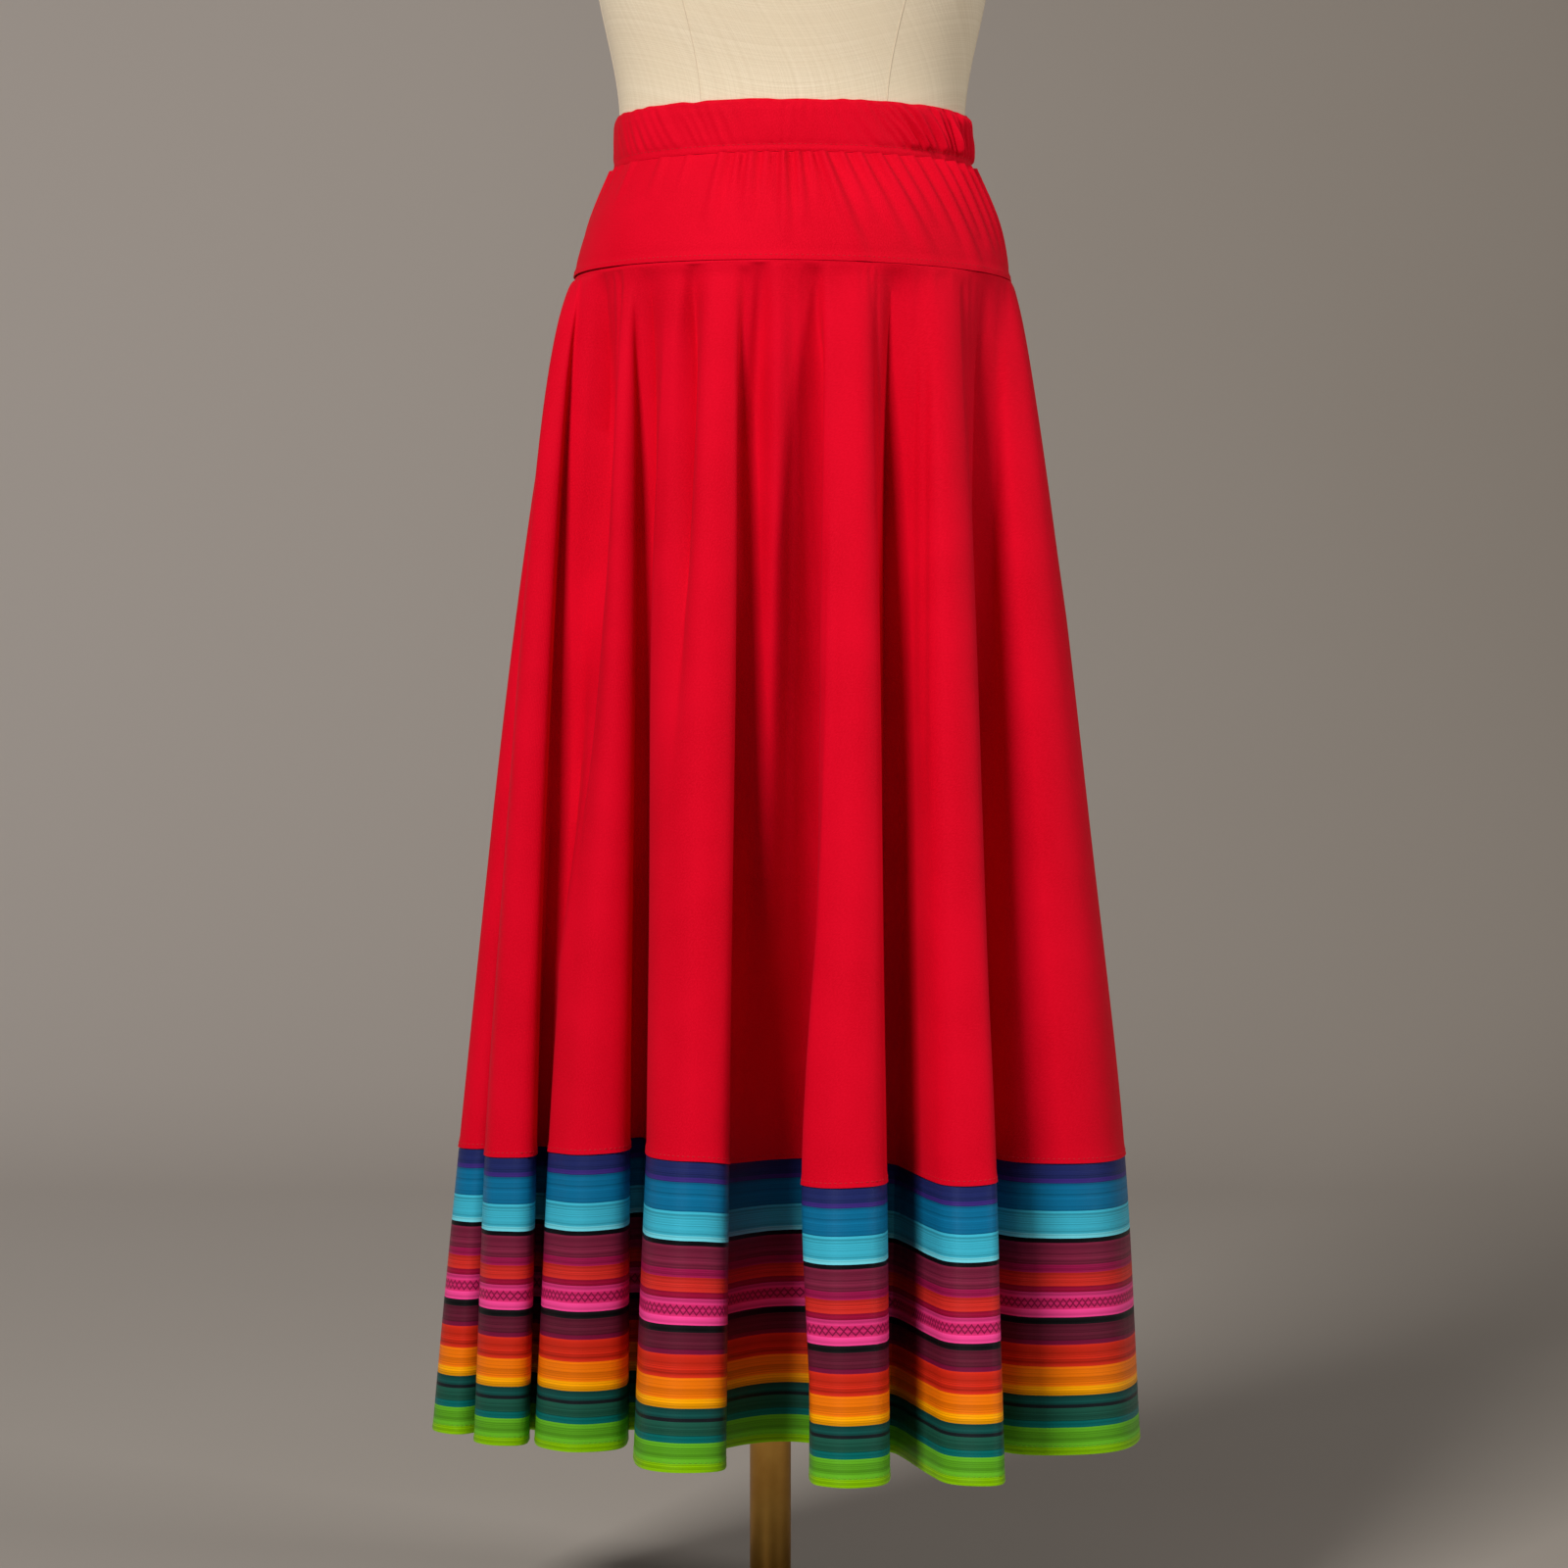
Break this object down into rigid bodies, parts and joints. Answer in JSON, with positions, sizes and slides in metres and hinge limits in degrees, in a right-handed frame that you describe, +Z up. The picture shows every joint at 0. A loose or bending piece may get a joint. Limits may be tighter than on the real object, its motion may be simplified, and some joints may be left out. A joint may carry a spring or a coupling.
{
  "type": "folklorico skirt on a dress form",
  "caption": "Long red gathered skirt with elastic waistband, hip yoke, flared fluted body and striped hem band, on a limbless dress form with pole and round base.",
  "frame": {"origin": "centre of the base plate's flat underside, on the pole's axis", "axes": "+Z up along the pole, -Y towards the skirt's front, +X to the right of someone who looks at the front"},
  "size_m": [0.483, 0.4326, 1.4903],
  "materials": {
    "red_knit": "matt knitted jersey with a soft sheen, bright red",
    "striped_satin": "satin weave with serape stripes in navy, blue, plum, pink, orange, teal and green",
    "linen": "plain linen stretched over the form",
    "pole_brass": "satin brass",
    "base_iron": "dark satin paint"
  },
  "bodies": {
    "root": {"waistband": "red_knit", "yoke_front": "red_knit", "yoke_back": "red_knit", "flare_front": "red_knit", "flare_back": "red_knit", "hem_band_front": "striped_satin", "hem_band_back": "striped_satin", "form_torso": "linen", "form_neck_cap": "pole_brass", "stand_pole": "pole_brass", "stand_base": "base_iron"}
  },
  "joints": []
}
